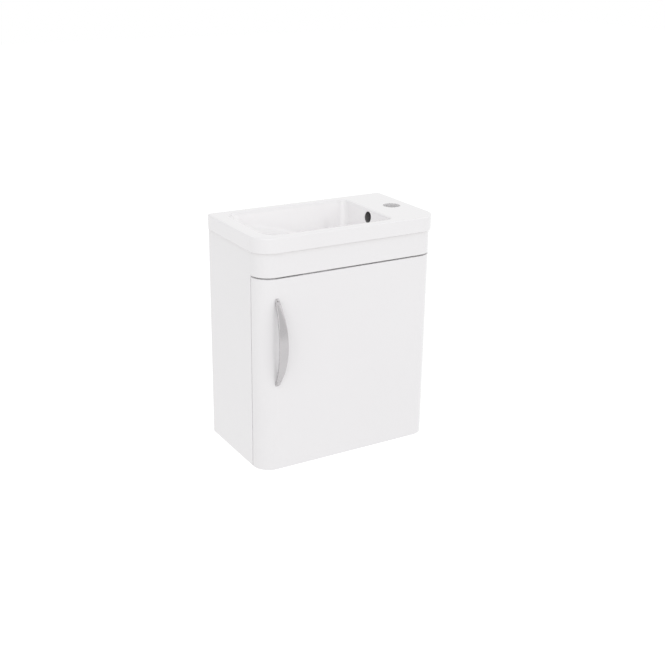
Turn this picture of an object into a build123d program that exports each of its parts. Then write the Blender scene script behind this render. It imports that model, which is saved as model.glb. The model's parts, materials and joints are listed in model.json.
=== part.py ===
"""Wall-hung cloakroom vanity: a slim ceramic basin on a cabinet with one curved-end door.

All sizes are in millimetres. X runs across the front, Y runs back to the wall and Z is up.
The origin is on the wall plane, in the middle of the cabinet's bottom edge.
"""
import os

from build123d import *

os.makedirs("parts", exist_ok=True)

# Overall form
basin_width = 400.0
basin_depth = 222.0
rim_height = 30.0
cabinet_height = 440.0
overhang = 4.0
corner_radius = 36.0
board = 16.0
front_board = 18.0

# Front openings
door_gap = 2.5
fascia_gap = 3.0
fascia_height = 47.0
nose_gap = 2.0
edge_setback = 1.0
glue_line = 0.1
over = 1.0

# Basin
basin_front_radius = 40.0
basin_back_radius = 8.0
apron_wall = 11.0
deck_thickness = 12.0
rim_round = 3.0
foot_round = 1.2
bowl_left_rim = 29.0
bowl_right_deck = 97.0
bowl_back_rim = 20.0
bowl_front_rim = 18.0
bowl_left_radius = 25.0
bowl_right_radius = 11.0
bowl_low_radius = 26.0
bowl_edge_round = 3.5
bowl_wall = 9.0
bowl_depth = 94.0
bowl_loft_drop = 110.0
bowl_left_inset = 46.0
bowl_right_inset = 14.0
bowl_back_inset = 34.0
bowl_front_inset = 56.0
shallow_depth = 33.0
shallow_length = 75.0
shallow_fall = 12.0
slope_start = 48.0
slope_rise = 22.0
slope_foot = 5.0
slope_foot_rise = 0.5
floor_run_out = 40.0
floor_run_rise = 3.0
floor_round = 20.0
tap_hole_radius = 17.5
tap_hole_from_side = 40.0
tap_hole_from_back = 111.0
waste_radius = 22.5
waste_from_bowl_right = 58.0
waste_from_bowl_back = 88.0
waste_boss_wall = 9.0
waste_boss_height = 22.0
waste_seat_radius = 31.0
waste_seat_depth = 2.0
overflow_radius = 11.5
overflow_drop = 17.0
overflow_from_bowl_back = 95.0
duct_width = 22.0
duct_gap = 9.0
duct_wall = 6.0
duct_top_drop = 3.0
duct_overlap = 1.0

# Carcass
back_rail_top_height = 100.0
back_rail_low_height = 80.0
front_rail_depth = 50.0
front_rail_web = 16.0
front_rail_ear = 26.0
edge_ease = 0.6
wall_hole_radius = 3.5
wall_hole_from_side = 76.0
wall_hole_from_top = 40.0
wall_hole_from_low = 40.0

# Board joints
dowel_radius = 4.0
dowel_length = 26.0
dowel_in_side = 11.0
dowel_from_front = 21.0
dowel_from_back = 25.0
rail_dowel_from_front = 9.0
rail_dowel_pitch = 14.0
back_dowel_from_edge = 12.0
joint_clearance = 0.1
cam_radius = 7.5
cam_height = 12.0
cam_setback = 24.0
cam_from_front = 56.0
cam_from_back = 60.0
back_cam_from_edge = 33.0
cam_slot_length = 9.8
cam_slot_width = 1.6
cam_slot_depth = 2.0
cam_mouth_radius = 3.4
cam_bolt_radius = 3.4
cam_bolt_thread_radius = 2.5
cam_bolt_in_side = 10.0
cam_bolt_neck_radius = 1.7
cam_bolt_head_radius = 2.7
cam_bolt_head_length = 2.0

# Butt hinges
leaf_thickness = 1.1
leaf_height = 50.0
leaf_inner = 12.8
leaf_corner = 3.0
knuckle_radius = 2.4
knuckle_count = 5
knuckle_gap = 0.3
pin_radius = 1.4
pin_head_radius = 2.2
pin_head_height = 1.4
pin_head_round = 0.8
pin_running = 0.05
pin_seated = 0.01
knuckle_overlap = 1.6
hinge_from_bottom = 75.0
hinge_from_top = 75.0
hinge_screw_pitch = 17.0

# Small screws, with countersunk and pan heads
screw_radius = 1.45
screw_head_radius = 2.7
screw_length = 14.0
screw_clearance = 0.15
screw_slot = 0.7
fascia_screw_length = 28.0
fascia_screw_from_side = 76.0
catch_screw_length = 12.0

# Bow handle
handle_from_side = 36.0
handle_from_top = 125.0
handle_length = 176.0
handle_centres = 160.0
handle_reach = 30.0
handle_thickness = 5.0
handle_end_depth = 8.0
handle_middle_width = 18.0
handle_end_width = 8.0
handle_foot_radius = 3.9
handle_foot_height = 7.5
handle_screw_radius = 2.0
handle_screw_head_radius = 4.2
handle_screw_head_height = 2.4
handle_screw_head_round = 0.9
handle_screw_bite = 6.0
recess_length = 4.6
recess_width = 1.0
recess_depth = 1.0
spot_depth = 1.0

# Magnetic catch and door buffers
catch_length = 46.0
catch_depth = 15.0
catch_height = 14.0
catch_from_side = 76.0
catch_corner = 4.0
catch_screw_pitch = 34.0
catch_ear = 4.0
pole_thickness = 2.0
pole_stand_out = 0.6
magnet_length = 20.0
magnet_height = 6.0
strike_length = 38.0
strike_height = 9.0
strike_thickness = 1.2
strike_from_top = 1.5
strike_screw_pitch = 28.0
catch_running = 0.3
buffer_radius = 4.0
buffer_from_end = 30.0
buffer_round = 1.3

# Worked out from the sizes above
overall_height = cabinet_height + rim_height
half_width = basin_width / 2 - overhang
front_y = -(basin_depth - overhang)
bend_y = front_y + corner_radius
bend_x = half_width - corner_radius
inner_bend_radius = corner_radius - front_board
inside_front_y = front_y + front_board
carcass_front_y = bend_y + edge_setback
door_back_y = carcass_front_y - door_gap
side_inner_x = half_width - board
fascia_bottom = cabinet_height - fascia_height
door_top = fascia_bottom - fascia_gap
handle_x = handle_from_side - half_width
catch_x = catch_from_side - half_width
wall_hole_x = half_width - wall_hole_from_side
fascia_screw_x = half_width - fascia_screw_from_side


def wrapped_front(back_y):
    """Plan outline of a front whose two ends bend back to the given line."""
    with BuildSketch() as outline:
        with BuildLine():
            outer_left = Line((-half_width, back_y), (-half_width, bend_y))
            outer_bend = RadiusArc(outer_left @ 1, (-bend_x, front_y), -corner_radius)
            face = Line(outer_bend @ 1, (bend_x, front_y))
            far_bend = RadiusArc(face @ 1, (half_width, bend_y), -corner_radius)
            outer_right = Line(far_bend @ 1, (half_width, back_y))
            end_right = Line(outer_right @ 1, (half_width - front_board, back_y))
            inner_right = Line(end_right @ 1, (half_width - front_board, bend_y))
            inner_bend = RadiusArc(inner_right @ 1, (bend_x, inside_front_y), inner_bend_radius)
            inner_face = Line(inner_bend @ 1, (-bend_x, inside_front_y))
            last_bend = RadiusArc(inner_face @ 1, (-half_width + front_board, bend_y), inner_bend_radius)
            inner_left = Line(last_bend @ 1, (-half_width + front_board, back_y))
            Line(inner_left @ 1, outer_left @ 0)
        make_face()
    return outline.sketch


def outer_loop(end_face):
    """The edges along the show side of a wrapped front's top or bottom face."""
    bends = end_face.edges().filter_by(GeomType.CIRCLE)
    straights = end_face.edges().filter_by(GeomType.LINE)
    return bends.filter_by(lambda e: e.radius > inner_bend_radius + over) + straights.filter_by(
        lambda e: e.center().Y < front_y + over or abs(e.center().X) > half_width - over)


def nose_outline(clearance):
    """Plan outline of the room inside a wrapped front, less a clearance all round."""
    reach_x = half_width - front_board - clearance
    reach_y = inside_front_y + clearance
    radius = inner_bend_radius - clearance
    with BuildSketch() as outline:
        with BuildLine():
            left = Line((-reach_x, carcass_front_y), (-reach_x, bend_y))
            first = RadiusArc(left @ 1, (-bend_x, reach_y), -radius)
            front = Line(first @ 1, (bend_x, reach_y))
            second = RadiusArc(front @ 1, (reach_x, bend_y), -radius)
            right = Line(second @ 1, (reach_x, carcass_front_y))
            Line(right @ 1, left @ 0)
        make_face()
    return outline.sketch


def bowl_outline(z, left, right, back, front, left_radius, right_radius):
    """Rounded outline of the bowl on a level plane, with separate radii at its two ends."""
    with BuildSketch(Plane.XY.offset(z)) as outline:
        with BuildLine():
            Polyline((left, front), (right, front), (right, back), (left, back), close=True)
        make_face()
        fillet(outline.vertices().group_by(Axis.X)[0], left_radius)
        fillet(outline.vertices().group_by(Axis.X)[-1], right_radius)
    return outline.sketch


def countersunk_screw(length):
    """A wood screw with its head flush at z = 0 and its point down."""
    tip = 2 * screw_radius
    with BuildPart() as screw:
        with BuildSketch(Plane.XZ):
            with BuildLine():
                Polyline(
                    (0, 0), (screw_head_radius, 0), (screw_radius, screw_radius - screw_head_radius),
                    (screw_radius, tip - length), (0, -length), close=True,
                )
            make_face()
        revolve(axis=Axis.Z)
        with BuildSketch():
            Rectangle(screw_head_radius, screw_slot)
            Rectangle(screw_slot, screw_head_radius)
        extrude(amount=-screw_slot, mode=Mode.SUBTRACT)
    return screw.part


def seat(x, y, z, out, across=(0, 0, 1)):
    """A plane on a surface at a point, looking along the way out of that surface."""
    return Plane(origin=(x, y, z), x_dir=across, z_dir=out)


# Where the hidden joints of the boards lie: (y, z) of each on the inner faces of the sides
bottom_mid = board / 2
rail_mid_y = -board / 2
front_rail_mid = fascia_bottom + board / 2
back_top_bottom = cabinet_height - back_rail_top_height
back_low_top = board + back_rail_low_height
rail_dowel_y = carcass_front_y + rail_dowel_from_front
dowel_yz = [
    (carcass_front_y + dowel_from_front, bottom_mid),
    (-dowel_from_back, bottom_mid),
    (rail_dowel_y, front_rail_mid),
    (rail_dowel_y + rail_dowel_pitch, front_rail_mid),
    (rail_mid_y, back_top_bottom + back_dowel_from_edge),
    (rail_mid_y, cabinet_height - back_dowel_from_edge),
    (rail_mid_y, board + back_dowel_from_edge),
    (rail_mid_y, back_low_top - back_dowel_from_edge),
]
cam_yz = [
    (carcass_front_y + cam_from_front, bottom_mid),
    (-cam_from_back, bottom_mid),
    (rail_mid_y, back_top_bottom + back_cam_from_edge),
    (rail_mid_y, cabinet_height - back_cam_from_edge),
    (rail_mid_y, board + back_rail_low_height / 2),
]
bottom_dowels, rail_dowels = dowel_yz[0:2], dowel_yz[2:4]
top_dowels, low_dowels = dowel_yz[4:6], dowel_yz[6:8]
bottom_cams, top_cams, low_cams = cam_yz[0:2], cam_yz[2:4], cam_yz[4:5]
sides = (-1, 1)


def inner_seats(places, side):
    """Planes on the inner face of one side panel, looking into the cabinet."""
    return [seat(side * side_inner_x, y, z, (-side, 0, 0)) for y, z in places]


def end_seats(places):
    """Planes on both ends of a board between the sides, looking out towards the side panels."""
    return [seat(side * side_inner_x, y, z, (side, 0, 0)) for side in sides for y, z in places]


def back_cam_seats(places):
    """Planes on the back of a rail where its cam locks go in from the wall side."""
    cam_x = side_inner_x - cam_setback
    return [seat(side * cam_x, 0, z, (0, 1, 0), (1, 0, 0)) for side in sides for y, z in places]


hinge_axis_x = half_width + knuckle_overlap
hinge_axis_y = carcass_front_y - door_gap / 2
hinge_heights = {"lower": hinge_from_bottom, "upper": door_top - hinge_from_top}
leaf_edge_x = half_width - leaf_inner
screw_line_x = half_width - board / 2
hinge_screw_z = [
    z + step * hinge_screw_pitch for z in hinge_heights.values() for step in (-1, 0, 1)
]
bead_radius = knuckle_radius + knuckle_gap
bead_height = leaf_height + 2 * (pin_head_height + knuckle_gap)
pilot_radius = screw_radius + screw_clearance
sink_radius = screw_head_radius + screw_clearance
dowel_in_board = dowel_length - dowel_in_side + joint_clearance
fixed_leaf_y = carcass_front_y - leaf_thickness
moving_leaf_y = door_back_y + leaf_thickness
cabinet_screw_seats = [seat(screw_line_x, fixed_leaf_y, z, (0, -1, 0)) for z in hinge_screw_z]
door_screw_seats = [seat(screw_line_x, moving_leaf_y, z, (0, 1, 0)) for z in hinge_screw_z]

strike_face_y = inside_front_y + strike_thickness
pole_face_y = strike_face_y + catch_running
housing_front_y = pole_face_y + pole_stand_out
housing_back_y = housing_front_y + catch_depth
catch_mid_y = (housing_front_y + housing_back_y) / 2
catch_low_z = fascia_bottom - catch_height
catch_mid_z = fascia_bottom - catch_height / 2
catch_ear_z = fascia_bottom - catch_ear
catch_screw_seats = [
    seat(catch_x + side * catch_screw_pitch / 2, catch_mid_y, catch_ear_z, (0, 0, -1), (1, 0, 0))
    for side in sides
]

# Side panels, with dowel and cam-bolt holes inside and the hinge holes in the right one's front edge
for name, side in (("side_panel_left", -1), ("side_panel_right", 1)):
    with BuildPart() as side_panel:
        with BuildSketch():
            with Locations((side * (half_width - board / 2), carcass_front_y / 2)):
                Rectangle(board, -carcass_front_y)
        extrude(amount=cabinet_height)
        outer_edges = side_panel.faces().sort_by(Axis.X)[0 if side < 0 else -1].edges()
        fillet(outer_edges.filter_by(Axis.Z).sort_by(Axis.Y)[0], edge_ease)
        fillet(side_panel.faces().sort_by(Axis.Z)[0].edges().filter_by(Axis.Y), edge_ease)
        with Locations(*inner_seats(dowel_yz, side)):
            Hole(dowel_radius + joint_clearance, depth=dowel_in_side + joint_clearance)
        with Locations(*inner_seats(cam_yz, side)):
            Hole(cam_bolt_thread_radius + joint_clearance, depth=cam_bolt_in_side + joint_clearance)
        if side > 0:
            with Locations(*[p.offset(-leaf_thickness) for p in cabinet_screw_seats]):
                Hole(pilot_radius, depth=screw_length)
            with Locations(*[(hinge_axis_x, hinge_axis_y, z) for z in hinge_heights.values()]):
                Cylinder(bead_radius, bead_height, mode=Mode.SUBTRACT)
    side_panel.part.label = name
    export_step(side_panel.part, f"parts/{name}.step")

# Bottom panel, whose front follows the inside of the curved door
with BuildPart() as bottom_panel:
    with BuildSketch():
        with Locations((0, carcass_front_y / 2)):
            Rectangle(2 * side_inner_x, -carcass_front_y)
        add(nose_outline(nose_gap))
    extrude(amount=board)
    with Locations(*end_seats(bottom_dowels)):
        Hole(dowel_radius + joint_clearance, depth=dowel_in_board)
    with Locations(*end_seats(bottom_cams)):
        Hole(cam_bolt_radius + joint_clearance, depth=cam_setback)
    cam_floor_spots = [
        seat(side * (side_inner_x - cam_setback), y, 0, (0, 0, -1), (1, 0, 0))
        for side in sides for y, z in bottom_cams
    ]
    with Locations(*cam_floor_spots):
        Hole(cam_radius + joint_clearance, depth=cam_height + joint_clearance)
bottom_panel.part.label = "bottom_panel"
export_step(bottom_panel.part, "parts/bottom_panel.step")

# Front rail behind the fascia, cut back in the middle to clear the bowl
with BuildPart() as front_rail:
    with BuildSketch(Plane.XY.offset(fascia_bottom)):
        rail_back_y = inside_front_y + front_rail_depth
        with Locations((0, (carcass_front_y + rail_back_y) / 2)):
            Rectangle(2 * side_inner_x, rail_back_y - carcass_front_y)
        add(nose_outline(glue_line))
        notch_half = side_inner_x - front_rail_ear
        notch_front_y = inside_front_y + front_rail_web
        with BuildSketch(mode=Mode.SUBTRACT) as notch:
            with Locations((0, (notch_front_y + rail_back_y) / 2 + corner_radius / 2)):
                RectangleRounded(2 * notch_half, rail_back_y - notch_front_y + corner_radius, board)
    extrude(amount=board)
    with Locations(*end_seats(rail_dowels)):
        Hole(dowel_radius + joint_clearance, depth=dowel_in_board)
    fascia_screw_seats = [
        seat(step * fascia_screw_x, notch_front_y, front_rail_mid, (0, 1, 0)) for step in (-1, 0, 1)
    ]
    with Locations(*fascia_screw_seats):
        CounterSinkHole(pilot_radius, sink_radius, depth=front_rail_web, counter_sink_angle=90)
    with Locations(*[p.offset(-catch_ear) for p in catch_screw_seats]):
        Hole(pilot_radius, depth=catch_screw_length - catch_ear + screw_clearance)
front_rail.part.label = "front_rail"
export_step(front_rail.part, "parts/front_rail.step")


def back_rail(bottom_z, height, hole_z, dowels, cams):
    """A rail across the back between the sides, with two wall holes and its board joints."""
    wall_holes = [seat(side * wall_hole_x, -board, hole_z, (0, -1, 0)) for side in sides]
    with BuildPart() as rail:
        with BuildSketch(Plane.XY.offset(bottom_z)):
            with Locations((0, rail_mid_y)):
                Rectangle(2 * side_inner_x, board)
        extrude(amount=height)
        with Locations(*wall_holes):
            Hole(wall_hole_radius, depth=board)
        with Locations(*end_seats(dowels)):
            Hole(dowel_radius + joint_clearance, depth=dowel_in_board)
        with Locations(*end_seats(cams)):
            Hole(cam_bolt_radius + joint_clearance, depth=cam_setback)
        with Locations(*back_cam_seats(cams)):
            Hole(cam_radius + joint_clearance, depth=cam_height + joint_clearance)
    return rail.part


back_rail_top = back_rail(
    back_top_bottom, back_rail_top_height, cabinet_height - wall_hole_from_top, top_dowels, top_cams)
back_rail_top.label = "back_rail_top"
export_step(back_rail_top, "parts/back_rail_top.step")

back_rail_low = back_rail(
    board, back_rail_low_height, board + wall_hole_from_low, low_dowels, low_cams)
back_rail_low.label = "back_rail_low"
export_step(back_rail_low, "parts/back_rail_low.step")

# Dowels, half in the sides and half in the boards
with BuildPart() as panel_dowels:
    dowel_out = dowel_length / 2 - dowel_in_side
    for side in sides:
        with Locations(*[p.offset(dowel_out) for p in inner_seats(dowel_yz, side)]):
            Cylinder(dowel_radius, dowel_length)
panel_dowels.part.label = "panel_dowels"
export_step(panel_dowels.part, "parts/panel_dowels.step")

# Cam bolt: thread in the side, shank in the board and a round head inside the cam
with BuildPart() as cam_bolt:
    with BuildSketch(Plane.XZ):
        with BuildLine():
            shank_end = cam_setback - cam_radius
            Polyline(
                (0, -cam_bolt_in_side), (cam_bolt_thread_radius, -cam_bolt_in_side),
                (cam_bolt_thread_radius, 0), (cam_bolt_radius, 0),
                (cam_bolt_radius, shank_end - joint_clearance),
                (cam_bolt_neck_radius, shank_end - joint_clearance),
                (cam_bolt_neck_radius, cam_setback - cam_bolt_head_length / 2),
                (cam_bolt_head_radius, cam_setback - cam_bolt_head_length / 2),
                (cam_bolt_head_radius, cam_setback + cam_bolt_head_length / 2),
                (0, cam_setback + cam_bolt_head_length / 2), close=True,
            )
        make_face()
    revolve(axis=Axis.Z)

with BuildPart() as cam_bolts:
    for side in sides:
        with Locations(*inner_seats(cam_yz, side)):
            add(cam_bolt.part)
cam_bolts.part.label = "cam_bolts"
export_step(cam_bolts.part, "parts/cam_bolts.step")

# Cam lock: a slotted disc with a mouth for the bolt's head
with BuildPart() as cam_lock:
    Cylinder(cam_radius, cam_height, align=(Align.CENTER, Align.CENTER, Align.MAX))
    with Locations(Plane(origin=(0, 0, -board / 2), x_dir=(0, 1, 0), z_dir=(1, 0, 0))):
        Cylinder(cam_mouth_radius, 2 * (cam_radius + over), mode=Mode.SUBTRACT)
    with BuildSketch():
        Rectangle(cam_slot_length, cam_slot_width)
        Rectangle(cam_slot_width, cam_slot_length)
    extrude(amount=-cam_slot_depth, mode=Mode.SUBTRACT)

with BuildPart() as cam_locks:
    with Locations(*cam_floor_spots, *back_cam_seats(top_cams + low_cams)):
        add(cam_lock.part)
cam_locks.part.label = "cam_locks"
export_step(cam_locks.part, "parts/cam_locks.step")

# Fascia with the same curved ends as the door
with BuildPart() as fascia_panel:
    with BuildSketch(Plane.XY.offset(fascia_bottom)):
        add(wrapped_front(carcass_front_y))
    extrude(amount=fascia_height)
    fillet(outer_loop(fascia_panel.faces().sort_by(Axis.Z)[0]), edge_ease)
    with Locations(*[p.offset(-front_rail_web) for p in fascia_screw_seats]):
        Hole(pilot_radius, depth=fascia_screw_length - front_rail_web + screw_clearance)
fascia_panel.part.label = "fascia_panel"
export_step(fascia_panel.part, "parts/fascia_panel.step")

fascia_screw = countersunk_screw(fascia_screw_length)
with BuildPart() as fascia_screws:
    with Locations(*[p.offset(-screw_clearance) for p in fascia_screw_seats]):
        add(fascia_screw)
fascia_screws.part.label = "fascia_screws"
export_step(fascia_screws.part, "parts/fascia_screws.step")

# Basin: deck and apron, an offset bowl with a sloping floor, tap hole, waste and overflow
bowl_left = -basin_width / 2 + bowl_left_rim
bowl_right = basin_width / 2 - bowl_right_deck
bowl_back = -bowl_back_rim
bowl_front = -basin_depth + bowl_front_rim
loft_bottom = overall_height - bowl_loft_drop
floor_low = overall_height - bowl_depth
floor_high = overall_height - shallow_depth
waste_x = bowl_right - waste_from_bowl_right
waste_y = bowl_back - waste_from_bowl_back
overflow_y = bowl_back - overflow_from_bowl_back
steepest_floor_edge = 0.75


def bowl_body(grow):
    """The bowl's hollow, or with a wall added its outer form: sloping sides over a curved floor."""
    with BuildPart() as body:
        top = bowl_outline(
            overall_height, bowl_left - grow, bowl_right + grow, bowl_back + grow, bowl_front - grow,
            bowl_left_radius + grow, bowl_right_radius + grow)
        low = bowl_outline(
            loft_bottom, bowl_left + bowl_left_inset - grow, bowl_right - bowl_right_inset + grow,
            bowl_back - bowl_back_inset + grow, bowl_front + bowl_front_inset - grow,
            bowl_low_radius, bowl_low_radius)
        loft([top, low], ruled=True)
        with BuildSketch(Plane.XZ.offset(-over)):
            with BuildLine():
                left_end = bowl_left - floor_run_out
                right_end = bowl_right + floor_run_out
                floor_line = Spline(
                    (left_end, floor_high - grow + floor_run_rise),
                    (bowl_left + shallow_length, floor_high - grow + floor_run_rise - shallow_fall),
                    (waste_x - slope_start, floor_low - grow + slope_rise),
                    (waste_x + slope_foot, floor_low - grow + slope_foot_rise),
                    (right_end, floor_low - grow),
                    tangents=[(1, -0.06), (1, 0)],
                )
                Polyline(
                    floor_line @ 1, (right_end, overall_height + over),
                    (left_end, overall_height + over), floor_line @ 0)
            make_face()
        extrude(amount=basin_depth + 2 * over, mode=Mode.INTERSECT)
        low_edges = body.edges().filter_by(lambda e: e.center().Z < overall_height - deck_thickness)
        fillet(low_edges.filter_by(lambda e: abs(e.tangent_at(0.5).Z) < steepest_floor_edge), floor_round)
    return body.part


def duct_line(inset):
    """Side outline of the overflow duct, which falls behind the bowl and turns to the waste."""
    lean = bowl_right_inset * (overflow_drop + bowl_depth) / bowl_loft_drop
    inner_x = bowl_right + bowl_wall - duct_overlap
    outer_x = inner_x + duct_gap + 2 * duct_wall
    top_z = overall_height - duct_top_drop
    low_z = floor_low - waste_boss_height
    return [
        (inner_x + inset, top_z - inset), (outer_x - inset, top_z - inset),
        (outer_x - lean - inset, low_z + inset), (waste_x, low_z + inset),
        (waste_x, low_z + duct_gap + 2 * duct_wall - inset),
        (inner_x - lean + inset, low_z + duct_gap + 2 * duct_wall - inset),
    ]


bowl_hollow = bowl_body(0)
bowl_shell = bowl_body(bowl_wall)
tap_x = basin_width / 2 - tap_hole_from_side
tap_y = -tap_hole_from_back
overflow_z = overall_height - overflow_drop

with BuildPart() as basin:
    with BuildSketch(Plane.XY.offset(cabinet_height)) as rim:
        with Locations((0, -basin_depth / 2)):
            Rectangle(basin_width, basin_depth)
        fillet(rim.vertices().group_by(Axis.Y)[0], basin_front_radius)
        fillet(rim.vertices().group_by(Axis.Y)[-1], basin_back_radius)
    extrude(amount=rim_height)
    fillet(basin.faces().sort_by(Axis.Z)[-1].edges(), rim_round)
    fillet(basin.faces().sort_by(Axis.Z)[0].edges(), foot_round)
    with BuildSketch(Plane.XY.offset(cabinet_height)) as under_deck:
        with Locations((0, -basin_depth / 2)):
            Rectangle(basin_width - 2 * apron_wall, basin_depth - 2 * apron_wall)
        fillet(under_deck.vertices().group_by(Axis.Y)[0], basin_front_radius - apron_wall)
        fillet(under_deck.vertices().group_by(Axis.Y)[-1], basin_back_radius)
    extrude(amount=rim_height - deck_thickness, mode=Mode.SUBTRACT)
    add(bowl_shell)
    with BuildSketch(Plane.XZ.offset(-overflow_y)):
        with BuildLine():
            Polyline(*duct_line(0), close=True)
        make_face()
    extrude(amount=duct_width / 2 + duct_wall, both=True)
    with Locations((waste_x, waste_y, floor_low)):
        Cylinder(
            waste_radius + waste_boss_wall, waste_boss_height, align=(Align.CENTER, Align.CENTER, Align.MAX))
    add(bowl_hollow, mode=Mode.SUBTRACT)
    mouth = basin.edges().filter_by(lambda e: abs(e.center().Z - overall_height) < 0.01)
    inside_mouth = mouth.filter_by(
        lambda e: bowl_left - over < e.center().X < bowl_right + over
        and bowl_front - over < e.center().Y < bowl_back + over)
    fillet(inside_mouth, bowl_edge_round)
    with BuildSketch(Plane.XZ.offset(-overflow_y)):
        with BuildLine():
            Polyline(*duct_line(duct_wall), close=True)
        make_face()
    extrude(amount=duct_width / 2, both=True, mode=Mode.SUBTRACT)
    with Locations((waste_x, waste_y, floor_low)):
        Cylinder(waste_radius, 3 * waste_boss_height, mode=Mode.SUBTRACT)
        Cylinder(waste_seat_radius, 2 * waste_seat_depth, mode=Mode.SUBTRACT)
    with Locations(seat(bowl_right - bowl_right_inset, overflow_y, overflow_z, (-1, 0, 0))):
        Cylinder(
            overflow_radius, bowl_right_inset + bowl_wall + duct_wall,
            align=(Align.CENTER, Align.CENTER, Align.MAX), mode=Mode.SUBTRACT)
    with Locations((tap_x, tap_y, overall_height)):
        Hole(tap_hole_radius, depth=deck_thickness + rim_height)
basin.part.label = "basin"
export_step(basin.part, "parts/basin.step")


def hinge_leaf(center_z, plate_y, out, first):
    """One butt-hinge leaf: a plate on the board's edge and every other knuckle round the pin."""
    pitch = leaf_height / knuckle_count
    spots = [center_z + (k - (knuckle_count - 1) / 2) * pitch for k in range(knuckle_count)]
    mine = spots[0 if first else 1::2]
    others = spots[1 if first else 0::2]
    bore = pin_radius + (pin_seated if first else pin_running)
    screw_spots = [(screw_line_x, center_z + step * hinge_screw_pitch) for step in (-1, 0, 1)]
    with BuildPart() as leaf:
        with BuildSketch(Plane.XZ.offset(-plate_y)) as plate:
            with Locations(((leaf_edge_x + hinge_axis_x) / 2, center_z)):
                Rectangle(hinge_axis_x - leaf_edge_x, leaf_height)
            fillet(plate.vertices().group_by(Axis.X)[0], leaf_corner)
        extrude(amount=out * leaf_thickness)
        with Locations(*[(hinge_axis_x, hinge_axis_y, z) for z in mine]):
            Cylinder(knuckle_radius, pitch)
        with Locations(*[(hinge_axis_x, hinge_axis_y, z) for z in others]):
            Cylinder(knuckle_radius + knuckle_gap, pitch + knuckle_gap, mode=Mode.SUBTRACT)
        with Locations((hinge_axis_x, hinge_axis_y, center_z)):
            Cylinder(bore, leaf_height + over, mode=Mode.SUBTRACT)
        with Locations(*[seat(x, plate_y - out * leaf_thickness, z, (0, -out, 0)) for x, z in screw_spots]):
            CounterSinkHole(pilot_radius, sink_radius, depth=leaf_thickness, counter_sink_angle=90)
    return leaf.part


# Hinges: the fixed leaf on the side panel, the moving leaf on the door, and the pin that joins them
hinge_screw = countersunk_screw(screw_length)
for level, center_z in hinge_heights.items():
    fixed_leaf = hinge_leaf(center_z, carcass_front_y, 1, True)
    fixed_leaf.label = f"hinge_leaf_fixed_{level}"
    export_step(fixed_leaf, f"parts/hinge_leaf_fixed_{level}.step")

    moving_leaf = hinge_leaf(center_z, door_back_y, -1, False)
    moving_leaf.label = f"hinge_leaf_moving_{level}"
    export_step(moving_leaf, f"parts/hinge_leaf_moving_{level}.step")

    with BuildPart() as hinge_pin:
        with Locations((hinge_axis_x, hinge_axis_y, center_z)):
            Cylinder(pin_radius, leaf_height)
        with Locations((hinge_axis_x, hinge_axis_y, center_z + leaf_height / 2)):
            Cylinder(pin_head_radius, pin_head_height, align=(Align.CENTER, Align.CENTER, Align.MIN))
        fillet(hinge_pin.faces().sort_by(Axis.Z)[-1].edges(), pin_head_round)
    hinge_pin.part.label = f"hinge_pin_{level}"
    export_step(hinge_pin.part, f"parts/hinge_pin_{level}.step")

with BuildPart() as hinge_screws_cabinet:
    with Locations(*cabinet_screw_seats):
        add(hinge_screw)
hinge_screws_cabinet.part.label = "hinge_screws_cabinet"
export_step(hinge_screws_cabinet.part, "parts/hinge_screws_cabinet.step")

with BuildPart() as hinge_screws_door:
    with Locations(*door_screw_seats):
        add(hinge_screw)
hinge_screws_door.part.label = "hinge_screws_door"
export_step(hinge_screws_door.part, "parts/hinge_screws_door.step")

# Bow handle: a flat band bent in one arc, widest in the middle, on two short feet
handle_z = door_top - handle_from_top
foot_z = [handle_z + side * handle_centres / 2 for side in sides]
half_chord = handle_length / 2
inner_half_chord = half_chord - handle_end_depth
inner_reach = handle_reach - handle_thickness

with BuildPart() as handle_bow:
    with BuildSketch(Plane.YZ.offset(handle_x - handle_middle_width)):
        with BuildLine():
            outer_arc = ThreePointArc(
                (front_y, handle_z - half_chord), (front_y - handle_reach, handle_z),
                (front_y, handle_z + half_chord))
            Line(outer_arc @ 1, (front_y, handle_z + inner_half_chord))
            inner_arc = ThreePointArc(
                (front_y, handle_z + inner_half_chord), (front_y - inner_reach, handle_z),
                (front_y, handle_z - inner_half_chord))
            Line(inner_arc @ 1, outer_arc @ 0)
        make_face()
    extrude(amount=2 * handle_middle_width)
    with BuildSketch(Plane.XZ.offset(-front_y)):
        with BuildLine():
            half_end = handle_end_width / 2
            half_middle = handle_middle_width / 2
            right_edge = ThreePointArc(
                (handle_x + half_end, handle_z + half_chord), (handle_x + half_middle, handle_z),
                (handle_x + half_end, handle_z - half_chord))
            Line(right_edge @ 1, (handle_x - half_end, handle_z - half_chord))
            left_edge = ThreePointArc(
                (handle_x - half_end, handle_z - half_chord), (handle_x - half_middle, handle_z),
                (handle_x - half_end, handle_z + half_chord))
            Line(left_edge @ 1, right_edge @ 0)
        make_face()
    extrude(amount=handle_reach + over, mode=Mode.INTERSECT)
    with Locations(*[seat(handle_x, front_y, z, (0, -1, 0)) for z in foot_z]):
        Cylinder(handle_foot_radius, handle_foot_height, align=(Align.CENTER, Align.CENTER, Align.MIN))
    with Locations(*[seat(handle_x, front_y, z, (0, 1, 0)) for z in foot_z]):
        Hole(handle_screw_radius + screw_clearance, depth=handle_screw_bite + screw_clearance)
handle_bow.part.label = "handle_bow"
export_step(handle_bow.part, "parts/handle_bow.step")

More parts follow.
